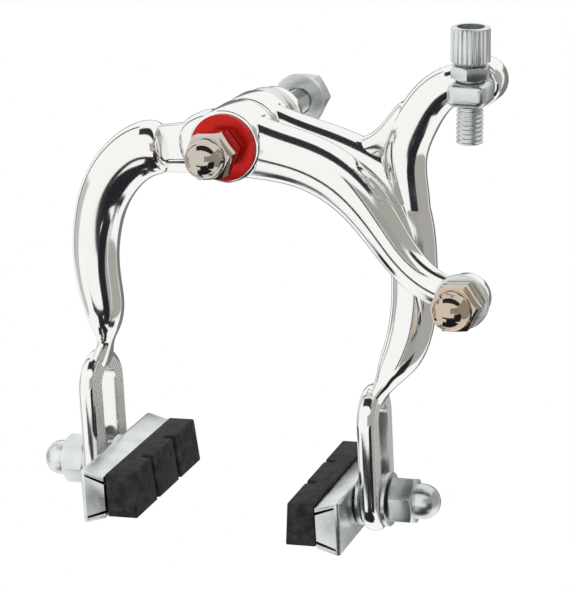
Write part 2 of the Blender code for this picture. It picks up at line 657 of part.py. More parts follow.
def pad_set(side, stud, lean, twist, yaw, pitch, rise):
    """Holder with its stud, rubber block, washers and domed nut on one foot."""
    outward = -1 if side == "left" else 1
    mirror = Matrix.Identity(4)
    if outward > 0:
        mirror = Matrix.Rotation(math.pi, 4, "Z")
    turn = Matrix.Rotation(-lean, 4, "Y") @ Matrix.Rotation(-yaw, 4, "Z") @ Matrix.Rotation(pitch, 4, "X")
    # in the local frame +X points to the rim and the stud runs along -X
    local = turn @ mirror
    # a foot twisted from the pad needs room for the corners of the flat washers
    slack = GAP + PAD_WASHER_R * abs(math.sin(twist - yaw))
    inner = FOOT_T / 2 + slack
    holder_back = inner + DISH_WASHER_T + GAP
    mouth = holder_back + HOLDER_DEPTH
    outer_washer = -FOOT_T / 2 - slack - PAD_WASHER_T
    nut_face = outer_washer - GAP
    stud_tip = nut_face - CAP_NUT_DEPTH + 2 * GAP

    def spot(x, y, z):
        return local @ Vector((x, y, z))

    def shoe(x, y, z):
        return spot(x, y, z + rise)

    # the shoe is turned round from side to side, so its long end points forward only on the left
    toward = -outward
    front = -PAD_OFFSET - toward * PAD_LENGTH / 2
    back = front + toward * PAD_LENGTH

    # dovetail channel
    def trapezoid(inset_back, inset_wall, x0, x1):
        slope = (HOLDER_BACK_H - HOLDER_MOUTH_H) / 2 / HOLDER_DEPTH
        low = HOLDER_BACK_H / 2 - inset_wall - slope * (x0 - holder_back)
        high = HOLDER_BACK_H / 2 - inset_wall - slope * (x1 - holder_back)
        return [(x0 + inset_back, -low), (x1, -high), (x1, high), (x0 + inset_back, low)]

    outline = trapezoid(0.0, 0.0, holder_back, mouth)
    channel = skin([[shoe(x, y, z) for x, z in outline] for y in (front, back)])
    holder = make_object("pad_holder_" + side, channel, ZINC, stud)
    hollow = trapezoid(0.0, HOLDER_WALL, holder_back + HOLDER_WALL, mouth + 1.0 * MM)
    inside = (front + toward * HOLDER_WALL, back - toward * HOLDER_WALL)
    hollow_rings = [[shoe(x, y, z) for x, z in hollow] for y in inside]
    cut(holder, make_object("hollow", skin(hollow_rings), None, stud))
    # slits beside the end flaps
    for end, into in ((front, toward), (back, -toward)):
        for way in (-1, 1):
            high = HOLDER_BACK_H / 2 - HOLDER_WALL
            low = HOLDER_MOUTH_H / 2 - HOLDER_WALL
            lines = [(holder_back + HOLDER_WALL, way * high), (mouth + 1.0 * MM, way * low)]
            lines.append((mouth + 1.0 * MM, way * (low - 0.9 * MM)))
            lines.append((holder_back + HOLDER_WALL, way * (high - 0.5 * MM)))
            slit = (end - into * 1.0 * MM, end + into * 2.0 * MM)
            slit_rings = [[shoe(x, y, z) for x, z in lines] for y in slit]
            cut(holder, make_object("slit", skin(slit_rings), None, stud))
    along = local @ Matrix.Rotation(-math.pi / 2, 4, "Y")
    shank = [(THREAD_R, -holder_back - HOLDER_WALL / 2), (THREAD_R, -stud_tip - 0.5 * MM)]
    shank += [(THREAD_R - 0.5 * MM, -stud_tip)]
    fuse(holder, make_object("stud", turned(shank, along), None, stud))
    smooth(holder)

    # rubber block with two cross grooves
    base = trapezoid(0.0, HOLDER_WALL + GAP, holder_back + HOLDER_WALL + GAP, mouth)
    run = (front + toward * (HOLDER_WALL + GAP), back - toward * (HOLDER_WALL + GAP))
    base_rings = [[shoe(x, y, z) for x, z in base] for y in run]
    rubber = make_object("pad_rubber_" + side, skin(base_rings), RUBBER, stud)
    top_face = mouth + RUBBER_PROUD_TOP
    foot_face = mouth + RUBBER_PROUD_FOOT
    top = RUBBER_H / 2 + RUBBER_RISE
    bottom = RUBBER_RISE - RUBBER_H / 2
    edge = 0.6 * MM
    block = [(mouth + GAP, bottom), (foot_face - edge, bottom), (foot_face, bottom + edge)]
    block += [(top_face, top - edge), (top_face - edge, top), (mouth + GAP, top)]
    ends = (front + toward * GAP, back - toward * GAP)
    core = [(mouth - 0.5 * MM, -3.0 * MM), (mouth + 1.0 * MM, -3.0 * MM)]
    core += [(mouth + 1.0 * MM, 3.0 * MM), (mouth - 0.5 * MM, 3.0 * MM)]
    inner_run = (run[0] + toward * 0.5 * MM, run[1] - toward * 0.5 * MM)
    fuse(rubber, make_object("core", skin([[shoe(x, y, z) for x, z in core] for y in inner_run]), None, stud))
    fuse(rubber, make_object("block", skin([[shoe(x, y, z) for x, z in block] for y in ends]), None, stud))
    for third in (1, 2):
        middle = front + toward * PAD_LENGTH * third / 3
        outline = [(foot_face - GROOVE_DEPTH, -RUBBER_H), (foot_face + GAP, -RUBBER_H)]
        outline += [(foot_face + GAP, RUBBER_H), (top_face - GROOVE_DEPTH, RUBBER_H)]
        levels = (middle - GROOVE_W / 2, middle + GROOVE_W / 2)
        groove = skin([[shoe(x, y, z) for x, z in outline] for y in levels])
        cut(rubber, make_object("groove", groove, None, stud))
    smooth(rubber)

    # washers and nut on the stud
    washer("pad_dish_washer_" + side, PAD_WASHER_R, DISH_WASHER_T, BORE_R, local @ ALONG_X,
           Vector(stud) + spot(inner, 0.0, 0.0), ZINC, 0.3 * MM)
    washer("pad_washer_" + side, PAD_WASHER_R, PAD_WASHER_T, BORE_R, local @ ALONG_X,
           Vector(stud) + spot(outer_washer, 0.0, 0.0), ZINC)
    cap_nut("pad_cap_nut_" + side, along, Vector(stud) + spot(nut_face, 0.0, 0.0), ZINC,
            math.radians(22 if side == "left" else 8), PAD_NUT_DOME_R)


clear_scene()
pivot_hardware()
front_arm()
rear_arm()
spring_block()
return_spring()
cable_anchor()
adjuster()
pad_set("left", LEFT_STUD, LEFT_LEAN, LEFT_TWIST, LEFT_YAW, LEFT_PITCH, LEFT_SHOE_RISE)
pad_set("right", RIGHT_STUD, RIGHT_LEAN, RIGHT_TWIST, RIGHT_YAW, RIGHT_PITCH, RIGHT_SHOE_RISE)
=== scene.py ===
# Side-pull rim brake caliper, dressed for a close product view.
import json
import math

import bpy
from mathutils import Matrix, Vector


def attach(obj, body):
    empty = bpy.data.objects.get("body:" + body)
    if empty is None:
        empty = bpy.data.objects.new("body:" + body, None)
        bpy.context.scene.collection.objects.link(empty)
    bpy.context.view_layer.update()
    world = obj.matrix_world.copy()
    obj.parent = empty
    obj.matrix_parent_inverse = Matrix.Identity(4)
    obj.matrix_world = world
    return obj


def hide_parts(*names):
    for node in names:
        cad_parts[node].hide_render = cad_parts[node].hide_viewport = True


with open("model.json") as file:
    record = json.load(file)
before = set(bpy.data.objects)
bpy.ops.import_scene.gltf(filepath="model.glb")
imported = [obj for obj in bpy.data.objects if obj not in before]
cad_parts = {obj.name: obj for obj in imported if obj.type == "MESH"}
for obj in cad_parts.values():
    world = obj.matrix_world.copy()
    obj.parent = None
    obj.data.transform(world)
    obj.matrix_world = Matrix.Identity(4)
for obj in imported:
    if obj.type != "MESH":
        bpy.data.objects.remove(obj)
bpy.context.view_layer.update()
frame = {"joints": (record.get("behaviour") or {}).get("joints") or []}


# ---- Front arm -------------------------------------------------------------
# One drop-forged aluminium arm, trimmed, ground and mirror polished. It runs
# from the left foot over the wheel to the cable anchor, with a boss that turns
# on the pivot bolt and a waist where the forging is thinned beside the boss.

MM = 0.001
stud_hole = 3.3  # radius, in mm, of a hole that an M6 bolt passes through


def deselect():
    bpy.ops.object.select_all(action="DESELECT")


def take(obj):
    """Selects one piece, and nothing else, for the next operator."""
    deselect()
    obj.select_set(True)
    bpy.context.view_layer.objects.active = obj
    return obj


def clear_picks(obj):
    """Unselects all of a piece's mesh, so that parts of it can be picked by their place."""
    for elements in (obj.data.vertices, obj.data.edges, obj.data.polygons):
        for element in elements:
            element.select = False


def apply_modifier(obj, kind, **settings):
    take(obj)
    modifier = obj.modifiers.new(kind.lower(), kind)
    for key, value in settings.items():
        setattr(modifier, key, value)
    bpy.ops.object.modifier_apply(modifier=modifier.name)
    return obj


def round_edges(obj, width, segments, sharper_than=60):
    """Rounds the edges sharper than an angle in degrees; the width is in mm."""
    return apply_modifier(obj, "BEVEL", width=width * MM, segments=segments,
                          limit_method="ANGLE", angle_limit=math.radians(sharper_than))


def weld(obj, other, operation="UNION"):
    apply_modifier(obj, "BOOLEAN", operation=operation, solver="EXACT", object=other)
    bpy.data.objects.remove(other, do_unlink=True)
    return obj


def cut(obj, other):
    return weld(obj, other, "DIFFERENCE")


def place(obj, matrix):
    """Puts a piece made at the origin where it belongs, keeping its object at the origin."""
    take(obj)
    obj.matrix_world = matrix
    bpy.ops.object.transform_apply(location=True, rotation=True, scale=True)
    return obj


def smooth(obj, degrees):
    take(obj)
    bpy.ops.object.shade_smooth_by_angle(angle=math.radians(degrees))
    return obj


def bridge_rings(name, rings):
    """Joins a row of rings into one closed skin."""
    deselect()
    for ring in rings:
        ring.select_set(True)
    obj = rings[0]
    bpy.context.view_layer.objects.active = obj
    bpy.ops.object.join()
    obj.name = name
    bpy.ops.object.transform_apply(location=True, rotation=True, scale=True)
    bpy.ops.object.mode_set(mode="EDIT")
    bpy.ops.mesh.select_all(action="SELECT")
    bpy.ops.mesh.bridge_edge_loops()
    bpy.ops.mesh.select_all(action="SELECT")
    bpy.ops.mesh.fill_holes(sides=0)
    bpy.ops.mesh.select_all(action="SELECT")
    bpy.ops.mesh.normals_make_consistent(inside=False)
    bpy.ops.object.mode_set(mode="OBJECT")
    return obj


def limb(name, stations):
    """A forged limb through stations of x, y, z, half width and half depth in mm."""
    swell = 1.026  # makes up for what subdividing takes off the girth
    rings = []
    for k, (x, y, z, half_width, half_depth) in enumerate(stations):
        ahead = stations[min(k + 1, len(stations) - 1)]
        behind = stations[max(k - 1, 0)]
        heading = math.atan2(ahead[0] - behind[0], ahead[2] - behind[2])
        if 0 < k < len(stations) - 1:
            # subdividing pulls a bend inwards, so its rings start a little outside
            x -= (ahead[0] + behind[0] - 2 * x) / 6
            z -= (ahead[2] + behind[2] - 2 * z) / 6
        bpy.ops.mesh.primitive_circle_add(
            vertices=16, radius=MM * swell, location=(x * MM, y * MM, z * MM),
            rotation=(0.0, heading, 0.0))
        ring = bpy.context.object
        ring.scale = (half_width, half_depth, 1.0)
        rings.append(ring)
    return apply_modifier(bridge_rings(name, rings), "SUBSURF", levels=2, render_levels=2)


def disc(name, radius, front, back, edge, x=0.0, z=0.0, vertices=96):
    """A round boss or disc about an axis along Y, its rims rounded by edge mm."""
    deselect()
    bpy.ops.mesh.primitive_cylinder_add(
        vertices=vertices, radius=radius * MM, depth=(back - front) * MM,
        location=(x * MM, (front + back) / 2 * MM, z * MM), rotation=(math.radians(90), 0, 0))
    obj = bpy.context.object
    obj.name = name
    bpy.ops.object.transform_apply(location=True, rotation=True, scale=True)
    return round_edges(obj, edge, 4) if edge else obj


def drill(obj, front, back, x=0.0, z=0.0, vertices=96):
    """Drills the hole for an M6 bolt along Y, right through from front to back."""
    return cut(obj, disc("drill", stud_hole, front - 3, back + 3, 0, x, z, vertices))


def stadium_plate(name, half_width, down, up, thickness, edge, vertices):
    """A plate with two round ends, standing along Z, its thickness along X."""
    deselect()
    bpy.ops.mesh.primitive_cylinder_add(
        vertices=vertices, radius=half_width * MM, depth=thickness * MM,
        rotation=(0, math.radians(90), 0))
    obj = bpy.context.object
    obj.name = name
    bpy.ops.object.transform_apply(location=True, rotation=True, scale=True)
    clear_picks(obj)
    # the upper half, its widest points included, is lifted to draw the disc out
    for vertex in obj.data.vertices:
        vertex.select = vertex.co.z > -1e-7
    bpy.ops.object.mode_set(mode="EDIT")
    bpy.ops.mesh.select_mode(type="VERT")
    bpy.ops.transform.translate(value=(0, 0, (up + down - 2 * half_width) * MM))
    bpy.ops.mesh.select_all(action="SELECT")
    bpy.ops.transform.translate(value=(0, 0, (half_width - down) * MM))
    bpy.ops.object.mode_set(mode="OBJECT")
    return round_edges(obj, edge, 5) if edge else obj


def bevel_edges(obj, wanted, width, segments):
    """Bevels the edges whose two ends satisfy the test."""
    take(obj)
    clear_picks(obj)
    for line in obj.data.edges:
        ends = [obj.data.vertices[i] for i in line.vertices]
        line.select = all(wanted(end.co) for end in ends)
        if line.select:
            for end in ends:
                end.select = True
    bpy.ops.object.mode_set(mode="EDIT")
    bpy.ops.mesh.select_mode(type="EDGE")
    bpy.ops.mesh.bevel(offset=width * MM, segments=segments)
    bpy.ops.object.mode_set(mode="OBJECT")
    return obj


def bare_metal(name, colour, roughness, mottle, grain, grain_scale=900.0, metallic=1.0):
    """Bare or plated metal: small changes of colour and shine, fine handling marks and grain."""
    material = bpy.data.materials.new(name)
    material.use_nodes = True
    nodes = material.node_tree.nodes
    links = material.node_tree.links
    shader = nodes["Principled BSDF"]
    shader.inputs["Metallic"].default_value = metallic
    where = nodes.new("ShaderNodeTexCoord")
    cloud = nodes.new("ShaderNodeTexNoise")
    cloud.inputs["Scale"].default_value = 160.0
    cloud.inputs["Detail"].default_value = 4.0
    links.new(where.outputs["Object"], cloud.inputs["Vector"])
    tint = nodes.new("ShaderNodeValToRGB")
    tint.color_ramp.elements[0].position = 0.3
    tint.color_ramp.elements[0].color = (*[c * (1 - mottle) for c in colour], 1)
    tint.color_ramp.elements[1].position = 0.7
    tint.color_ramp.elements[1].color = (*colour, 1)
    links.new(cloud.outputs["Fac"], tint.inputs["Fac"])
    links.new(tint.outputs["Color"], shader.inputs["Base Color"])
    shine = nodes.new("ShaderNodeMapRange")
    shine.inputs["To Min"].default_value = roughness * 0.7
    shine.inputs["To Max"].default_value = roughness * 1.4
    links.new(cloud.outputs["Fac"], shine.inputs["Value"])
    links.new(shine.outputs["Result"], shader.inputs["Roughness"])
    fine = nodes.new("ShaderNodeTexNoise")
    fine.inputs["Scale"].default_value = grain_scale
    fine.inputs["Detail"].default_value = 6.0
    links.new(where.outputs["Object"], fine.inputs["Vector"])
    bump = nodes.new("ShaderNodeBump")
    bump.inputs["Strength"].default_value = grain
    bump.inputs["Distance"].default_value = 0.2 * MM
    links.new(fine.outputs["Fac"], bump.inputs["Height"])
    links.new(bump.outputs["Normal"], shader.inputs["Normal"])
    return material


def knurled(name, colour, lean):
    """The same metal rolled with a diamond knurl; the ridges cross in the plane of the foot, and
    painted shade darkens the grooves between them.
    """
    across, along = 0.9 * MM, 1.5 * MM  # size of one diamond
    # painted shade: the near-black colour that darkens the knurl's grooves
    groove_painted_shade = (0.06, 0.06, 0.055, 1)
    material = bare_metal(name, colour, 0.45, mottle=0.15, grain=0.3, metallic=0.45)
    nodes = material.node_tree.nodes
    links = material.node_tree.links
    where = nodes.new("ShaderNodeTexCoord")
    turn = nodes.new("ShaderNodeMapping")
    turn.inputs["Rotation"].default_value = (0, -lean, 0)
    links.new(where.outputs["Object"], turn.inputs["Vector"])
    split = nodes.new("ShaderNodeSeparateXYZ")
    links.new(turn.outputs["Vector"], split.inputs["Vector"])
    waves = []
    for sign in (1, -1):
        y_part = nodes.new("ShaderNodeMath")
        y_part.operation = "MULTIPLY"
        y_part.inputs[1].default_value = 2 * math.pi / across
        links.new(split.outputs["Y"], y_part.inputs[0])
        total = nodes.new("ShaderNodeMath")
        total.operation = "MULTIPLY_ADD"
        total.inputs[1].default_value = sign * 2 * math.pi / along
        links.new(split.outputs["Z"], total.inputs[0])
        links.new(y_part.outputs[0], total.inputs[2])
        wave = nodes.new("ShaderNodeMath")
        wave.operation = "SINE"
        links.new(total.outputs[0], wave.inputs[0])
        waves.append(wave)
    peaks = nodes.new("ShaderNodeMath")
    peaks.operation = "MAXIMUM"
    links.new(waves[0].outputs[0], peaks.inputs[0])
    links.new(waves[1].outputs[0], peaks.inputs[1])
    bump = nodes.new("ShaderNodeBump")
    bump.inputs["Strength"].default_value = 0.9
    bump.inputs["Distance"].default_value = 0.12 * MM
    links.new(peaks.outputs[0], bump.inputs["Height"])
    shader = nodes["Principled BSDF"]
    links.new(bump.outputs["Normal"], shader.inputs["Normal"])
    # mixes in the painted groove shade by how far each point lies below the ridges
    shade = nodes.new("ShaderNodeMapRange")
    shade.inputs["From Min"].default_value = -0.8
    shade.inputs["From Max"].default_value = 0.6
    shade.inputs["To Min"].default_value = 0.28
    shade.inputs["To Max"].default_value = 1.0
    links.new(peaks.outputs[0], shade.inputs["Value"])
    mix = nodes.new("ShaderNodeMix")
    mix.data_type = "RGBA"
    mix.inputs["A"].default_value = groove_painted_shade
    mix.inputs["B"].default_value = (*colour, 1)
    links.new(shade.outputs["Result"], mix.inputs["Factor"])
    links.new(mix.outputs["Result"], shader.inputs["Base Color"])
    return material


def joint(name):
    return next(j for j in frame["joints"] if j["name"] == name)


def foot_place(side, toe):
    """Where a foot's stud is, how far its slot leans, and the two as one place; toe in degrees."""
    stud = Vector(joint(side + "_shoe_tilt")["pos_m"])
    slot_axis = joint(side + "_shoe_height")["axis"]
    lean = math.atan2(slot_axis[0], slot_axis[2])
    at = (Matrix.Translation(stud) @ Matrix.Rotation(lean, 4, "Y")
          @ Matrix.Rotation(math.radians(toe), 4, "Z"))
    return stud, lean, at


def add_foot(arm, at):
    """Welds the flat foot to an arm and cuts the long slot for the shoe's stud through it."""
    foot = stadium_plate("foot", half_width=8.75, down=7.3, up=27.3, thickness=4.2, edge=1.7,
                         vertices=64)
    slot = stadium_plate("slot", half_width=3.6, down=4.0, up=23.0, thickness=20.0, edge=0,
                         vertices=48)
    weld(arm, place(foot, at))
    cut(arm, place(slot, at))


def knurl_foot(arm, stud, metal, most_x):
    """Gives the two flats of a foot their knurl, on the faces left of most_x mm."""
    arm.data.materials.append(metal)
    for face in arm.data.polygons:
        height = (face.center - stud).z
        flat = abs(face.normal.x) > 0.97 and face.center.x < most_x * MM
        if flat and -6.5 * MM < height < 22.5 * MM:
            face.material_index = 1


polished = bare_metal("polished_forging", (0.93, 0.93, 0.92), 0.10, mottle=0.02, grain=0.012,
                      grain_scale=500.0)

left_stud, left_lean, left_foot = foot_place("left", -3)
sx, sy, sz = left_stud / MM
mid = 2.9  # the middle plane of the forging
boss_front, boss_back = -3.1, 8.9

front_arm = limb("front_arm_polished", [
    (sx - 1.1, sy + 0.2, sz + 22.6, 1.9, 5.4),
    (sx - 0.6, sy + 0.3, sz + 25.6, 1.9, 5.2),
    (sx + 0.1, sy + 0.5, sz + 28.2, 1.6, 3.2),
    (sx + 0.3, sy + 0.7, sz + 30.2, 1.9, 3.0),
    (sx + 0.4, sy + 0.8, sz + 32.4, 3.0, 4.4),
    (-32.6, mid, -45.2, 3.9, 5.3),
    (-33.1, mid, -41.3, 4.7, 5.9),
    (-34.3, mid, -35.3, 5.1, 6.0),
    (-34.7, mid, -27.5, 5.4, 6.0),
    (-33.0, mid, -17.3, 6.0, 6.0),
    (-28.9, mid, -9.6, 6.4, 6.0),
    (-24.4, mid, -5.2, 6.5, 6.0),
    (-20.8, mid, -3.3, 6.6, 6.0),
    (-18.4, mid, -2.7, 6.2, 5.6),
    (-17.2, mid, -2.4, 5.0, 4.6),
    (-16.7, mid, -2.3, 3.0, 2.8),
])

# the thinned waist: a flat web, rounded over the top, with a broad slope along its lower edge
waist_x = -13.0
deselect()
bpy.ops.mesh.primitive_cube_add(size=1, location=(waist_x * MM, 5.2 * MM, -2.1 * MM),
                                scale=(14 * MM, 6.8 * MM, 13.2 * MM))
waist = bpy.context.object
bpy.ops.object.transform_apply(location=True, rotation=True, scale=True)
for vertex in waist.data.vertices:
    if vertex.co.x < waist_x * MM:
        vertex.co.z += (-2.4 if vertex.co.z > 0 else -0.9) * MM
bevel_edges(waist, lambda v: v.z > 0 and v.y > 5 * MM, 6.0, 8)
bevel_edges(waist, lambda v: v.z < -5 * MM and v.y < 4 * MM, 3.4, 1)
weld(front_arm, round_edges(waist, 0.7, 4, 30))

# the boss end of the waist is domed again; then come the right limb and the bosses
weld(front_arm, limb("shoulder", [
    (-12.1, mid, -1.6, 2.6, 2.6),
    (-11.6, mid, -1.5, 4.4, 4.4),
    (-10.2, mid, -1.3, 6.0, 5.6),
    (-8.0, mid, -1.0, 6.9, 6.0),
    (-5.0, mid, -0.6, 7.8, 6.0),
    (0.0, mid, -0.4, 8.0, 6.0),
]))
weld(front_arm, limb("right_limb", [
    (0.0, mid, -0.3, 8.0, 5.7),
    (5.0, mid, -1.0, 7.3, 5.7),
    (10.0, mid, -1.8, 6.7, 5.8),
    (16.0, mid, -2.9, 6.4, 5.9),
    (22.0, mid, -5.0, 6.4, 5.8),
    (28.0, mid, -8.8, 6.0, 5.6),
    (33.6, mid, -14.7, 5.2, 5.3),
    (38.8, 2.6, -21.5, 4.6, 4.8),
    (43.4, 1.9, -26.3, 4.3, 3.9),
    (48.0, 1.2, -29.2, 4.1, 2.8),
    (52.2, 0.8, -30.5, 4.0, 2.3),
    (55.0, 0.7, -31.0, 3.6, 2.1),
]))
weld(front_arm, disc("boss", 8.5, boss_front, boss_back, edge=0.7))
anchor_x, _, anchor_z = Vector(joint("cable_anchor_turn")["pos_m"]) / MM
weld(front_arm, disc("anchor_end", 5.4, -1.6, 3.0, edge=0.6, x=anchor_x, z=anchor_z))
add_foot(front_arm, left_foot)
drill(front_arm, boss_front, boss_back, vertices=64)
smooth(front_arm, 40)
front_arm.data.materials.append(polished)
knurl_foot(front_arm, left_stud, knurled("knurl_left", (0.86, 0.86, 0.84), left_lean), -28)
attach(front_arm, "front_arm")
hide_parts("front_arm")


# ---- Rear arm --------------------------------------------------------------
# The second forging, polished the same way. It turns behind the front arm on
# the same bolt, and forks into a limb down to the right foot and a branch up
# to the eye that holds the cable adjuster.

right_stud, right_lean, right_foot = foot_place("right", 3)
sx, sy, sz = right_stud / MM
boss_front, boss_back = 10.3, 19.9

rear_arm = limb("rear_arm_polished", [
    (0.0, 15.1, 0.0, 8.0, 4.5),
    (6.0, 15.1, -1.2, 7.0, 4.7),
    (12.0, 15.1, -2.4, 6.5, 5.0),
    (18.0, 15.1, -3.6, 6.3, 5.2),
    (25.5, 14.9, -5.9, 6.3, 5.5),
    (32.0, 14.7, -9.2, 6.3, 5.7),
    (36.6, 14.7, -14.6, 6.0, 5.7),
    (38.7, 14.7, -21.5, 5.5, 5.7),
    (39.6, 14.3, -29.0, 5.3, 5.7),
    (40.3, 12.4, -36.5, 5.3, 5.7),
    (40.3, 9.2, -43.2, 5.2, 5.8),
    (sx + 4.3, sy + 4.2, sz + 33.4, 4.8, 5.6),
    (sx + 2.6, sy + 2.3, sz + 30.2, 3.4, 4.6),
    (sx + 1.6, sy + 1.4, sz + 27.8, 2.4, 4.2),
    (sx + 0.3, sy + 0.6, sz + 25.6, 2.0, 4.9),
    (sx - 0.6, sy + 0.2, sz + 22.6, 1.9, 5.4),
])
branch = limb("branch", [
    (38.7, 14.7, -23.0, 4.6, 5.0),
    (37.8, 14.7, -15.0, 5.3, 5.4),
    (36.6, 14.7, -7.5, 5.6, 5.4),
    (37.2, 14.7, -1.0, 5.4, 5.4),
    (40.2, 14.8, 5.6, 5.1, 5.2),
    (44.0, 14.6, 11.2, 4.8, 4.8),
    (48.5, 14.2, 14.4, 4.5, 4.3),
    (53.0, 14.0, 15.4, 4.3, 4.0),
])
weld(branch, limb("web", [
    (25.0, 14.9, -4.6, 4.0, 3.2),
    (28.0, 14.9, -3.4, 4.0, 3.4),
    (31.4, 14.8, -1.6, 3.9, 3.6),
    (34.8, 14.8, 1.6, 4.0, 3.8),
    (37.6, 14.8, 5.0, 4.2, 3.8),
    (40.5, 14.8, 8.0, 4.2, 3.6),
]))
weld(rear_arm, branch)
weld(rear_arm, disc("boss", 8.4, boss_front, boss_back, edge=0.9))
weld(rear_arm, disc("eye", 5.3, 10.0, 18.0, edge=1.3, x=55.3, z=15.7))
add_foot(rear_arm, right_foot)
drill(rear_arm, boss_front, boss_back, vertices=64)
smooth(rear_arm, 40)
rear_arm.data.materials.append(polished)
# the right foot's knurl colour is a darker copy of the left foot's: painted shade
knurl_foot(rear_arm, right_stud, knurled("knurl_right_painted_shade", (0.80, 0.80, 0.78), right_lean), 40)
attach(rear_arm, "rear_arm")
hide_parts("rear_arm")


# ---- Pivot bolt and what it carries ----------------------------------------
# An M6 steel bolt holds the arms together and the brake to the frame. On it sit
# a nickel-plated domed nut, a jam nut, a red anodised washer, the arms with a
# brass spacer between, a spring block, a seat and, behind the fork, washer and nut.

tapped_hole = 3.25  # radius of a nut's hole, just clear of the thread inside it


def turned(name, profile, vertices):
    """A turned piece along Z from pairs of radius and height in mm, with closed ends."""
    rings = []
    for radius, height in profile:
        bpy.ops.mesh.primitive_circle_add(
            vertices=vertices, radius=radius * MM, location=(0, 0, height * MM))
        rings.append(bpy.context.object)
    return bridge_rings(name, rings)


def bore_out(obj, radius, bottom, top, vertices):
    """Cuts a round hole along Z."""
    return cut(obj, turned("bore", [(radius, bottom), (radius, top)], vertices))


def thread(name, bottom, top):
    """A length of M6 thread along Z: crests and roots one pitch apart, with a chamfered start."""
    radius, pitch, depth = 3.0, 1.0, 0.32
    profile = [(radius - 0.7, bottom)]
    height = bottom + 0.35
    while height < top - pitch:
        profile.append((radius, height))
        profile.append((radius, height + 0.16 * pitch))
        profile.append((radius - depth, height + 0.5 * pitch))
        profile.append((radius - depth, height + 0.62 * pitch))
        height += pitch
    profile.append((radius, top - 0.35))
    profile.append((radius, top))
    return turned(name, profile, 48)


def solid_hexagon(name, flats, height, turn):
    """A hexagon along Z on its own face, its corners turned off at both ends."""
    corner = flats / math.sqrt(3)
    face_circle = flats * 0.47
    slope = (corner - face_circle) * 0.5
    deselect()
    bpy.ops.mesh.primitive_cylinder_add(
        vertices=6, radius=corner * MM, depth=height * MM,
        location=(0, 0, height / 2 * MM), rotation=(0, 0, math.radians(turn - 30)))
    obj = bpy.context.object
    obj.name = name
    bpy.ops.object.transform_apply(location=True, rotation=True, scale=True)
    cone = turned("corners", [(face_circle, 0), (corner, slope), (corner, height - slope),
                              (face_circle, height)], 96)
    return weld(obj, cone, "INTERSECT")


def hex_nut(name, flats, height, turn):
    """A plain nut, its sharp edges broken."""
    nut = bore_out(solid_hexagon(name, flats, height, turn), tapped_hole, -1, height + 1, 48)
    return round_edges(nut, 0.12, 2, 28)


def domed_nut(name, turn, radius=4.5):
    """The domed nut used four times: a 10 mm hexagon and a round dome."""
    top = 11.3
    centre = top - radius
    steps = 20
    obj = round_edges(solid_hexagon(name, 10.0, 5.8, turn), 0.12, 2, 28)
    # a shallow groove parts the dome from the hexagon
    profile = [(radius, 5.0), (radius, 5.9), (radius - 0.12, 6.0), (radius - 0.12, 6.2),
               (radius, 6.4)]
    for step in range(1, steps):
        angle = math.pi / 2 * step / steps
        if centre + radius * math.sin(angle) > 6.5:
            profile.append((radius * math.cos(angle), centre + radius * math.sin(angle)))
    profile.append((0.05, top))
    weld(obj, turned("dome", profile, 96))
    return bore_out(obj, tapped_hole, -1, 8.0, 48)


def washer(name, radius, front, back, edge, x=0.0, z=0.0):
    """A washer or seat on an M6 bolt along Y, from its front to its back face."""
    return drill(disc(name, radius, front, back, edge, x, z), front, back, x, z)


def finish(obj, node, material, body, angle=30):
    """Shades a finished piece, gives it its metal and puts it in place of its counterpart."""
    smooth(obj, angle)
    obj.data.materials.clear()
    obj.data.materials.append(material)
    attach(obj, body)
    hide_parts(node)
    return obj


toward_front = Matrix.Rotation(math.pi / 2, 4, "X")
toward_back = Matrix.Rotation(-math.pi / 2, 4, "X")


def on_bolt(y):
    """A place along the pivot bolt, in mm behind the origin."""
    return Matrix.Translation((0, y * MM, 0))


zinc = bare_metal("zinc_plate", (0.84, 0.89, 0.89), 0.27, mottle=0.24, grain=0.10)
dark_nickel = bare_metal("dark_nickel", (0.60, 0.55, 0.49), 0.07, mottle=0.05, grain=0.01)
red_finish = bare_metal("red_anodised_face", (0.62, 0.015, 0.012), 0.20, mottle=0.16,
                        grain=0.06, metallic=0.75)

nut = place(domed_nut("pivot_nut_shape", turn=8), on_bolt(-8.2) @ toward_front)
finish(nut, "pivot_cap_nut", dark_nickel, "pivot_stack")
jam = place(hex_nut("jam_nut_shape", flats=8.2, height=3.2, turn=8),
            on_bolt(-4.7) @ toward_front)
finish(jam, "pivot_jam_nut", zinc, "pivot_stack")
face = washer("face_washer_shape", radius=7.7, front=-4.4, back=-3.4, edge=0.2)
finish(face, "face_washer", red_finish, "pivot_stack")
block = washer("spring_block_shape", radius=7.8, front=20.2, back=25.8, edge=0.7)
finish(block, "spring_block", zinc, "pivot_stack")
seat = washer("seat_washer_shape", radius=7.0, front=26.1, back=30.1, edge=0.6)
finish(seat, "fork_seat_washer", polished, "pivot_stack")
back_washer = washer("fork_washer_shape", radius=6.4, front=45.4, back=46.6, edge=0.25)
finish(back_washer, "fork_washer", zinc, "pivot_stack")
back_nut = place(hex_nut("fork_nut_shape", flats=10.0, height=6.0, turn=0),
                 on_bolt(46.9) @ toward_back)
finish(back_nut, "fork_nut", zinc, "pivot_stack")
bolt = place(thread("bolt_shape", bottom=-15.6, top=54.7), toward_back)
finish(bolt, "pivot_bolt", zinc, "pivot_stack")
bpy.data.objects["arm_spacer"].data.materials[0] = bare_metal(
    "spacer_brass", (0.72, 0.53, 0.24), 0.3, mottle=0.06, grain=0.02)


# ---- Return spring ---------------------------------------------------------
# Bright spring wire bent through the block, with a leg behind each arm. It is
# hidden except for short runs above the boss.

bpy.data.objects["return_spring"].data.materials[0] = bare_metal(
    "spring_wire", (0.66, 0.66, 0.64), 0.22, mottle=0.1, grain=0.05)


# ---- Cable anchor ----------------------------------------------------------
# A through bolt on the end of the front arm. The flat washer clamps the cable
# under a domed nut with a warm nickel finish.

